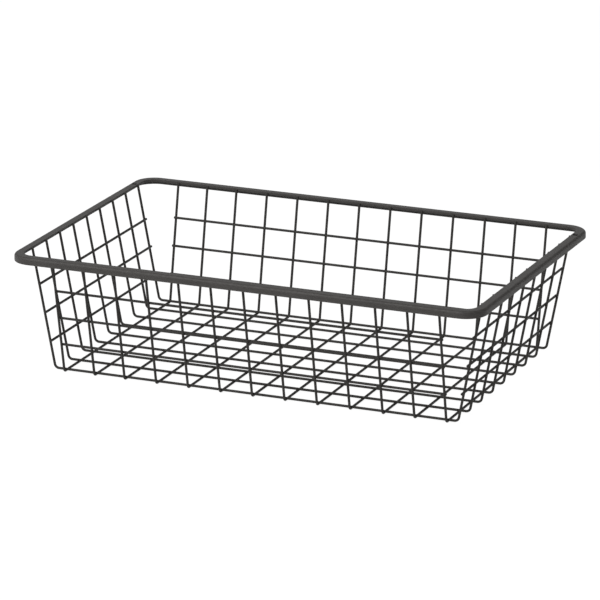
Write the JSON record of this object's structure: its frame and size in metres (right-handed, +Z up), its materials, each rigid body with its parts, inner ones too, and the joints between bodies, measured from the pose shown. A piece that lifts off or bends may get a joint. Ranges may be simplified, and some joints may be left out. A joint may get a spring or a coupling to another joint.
{
  "type": "wire storage basket",
  "caption": "Open rectangular storage basket of welded coated wire with outward sloping walls, straight wall rails and a folded sheet rim with rounded corners that can hang on shelf runners.",
  "frame": {"origin": "on the surface that the basket stands on, under the middle of its plan", "axes": "+X along the length, +Y towards the back wall, +Z up"},
  "size_m": [0.6, 0.3876, 0.151],
  "materials": {
    "rim_coat": "satin dark grey powder coat on sheet steel",
    "wire_coat": "satin dark grey powder coat on steel wire"
  },
  "bodies": {
    "root": {"rim": "rim_coat", "cross_wire_01": "wire_coat", "cross_wire_02": "wire_coat", "cross_wire_03": "wire_coat", "cross_wire_04": "wire_coat", "cross_wire_05": "wire_coat", "cross_wire_06": "wire_coat", "cross_wire_07": "wire_coat", "cross_wire_08": "wire_coat", "cross_wire_09": "wire_coat", "cross_wire_10": "wire_coat", "cross_wire_11": "wire_coat", "cross_wire_12": "wire_coat", "cross_wire_13": "wire_coat", "long_wire_01": "wire_coat", "long_wire_02": "wire_coat", "long_wire_03": "wire_coat", "long_wire_04": "wire_coat", "long_wire_05": "wire_coat", "long_wire_06": "wire_coat", "long_wire_07": "wire_coat", "long_wire_08": "wire_coat", "long_wire_09": "wire_coat", "front_rail_1": "wire_coat", "front_rail_2": "wire_coat", "front_rail_3": "wire_coat", "right_rail_1": "wire_coat", "right_rail_2": "wire_coat", "right_rail_3": "wire_coat", "back_rail_1": "wire_coat", "back_rail_2": "wire_coat", "back_rail_3": "wire_coat", "left_rail_1": "wire_coat", "left_rail_2": "wire_coat", "left_rail_3": "wire_coat"}
  },
  "joints": []
}
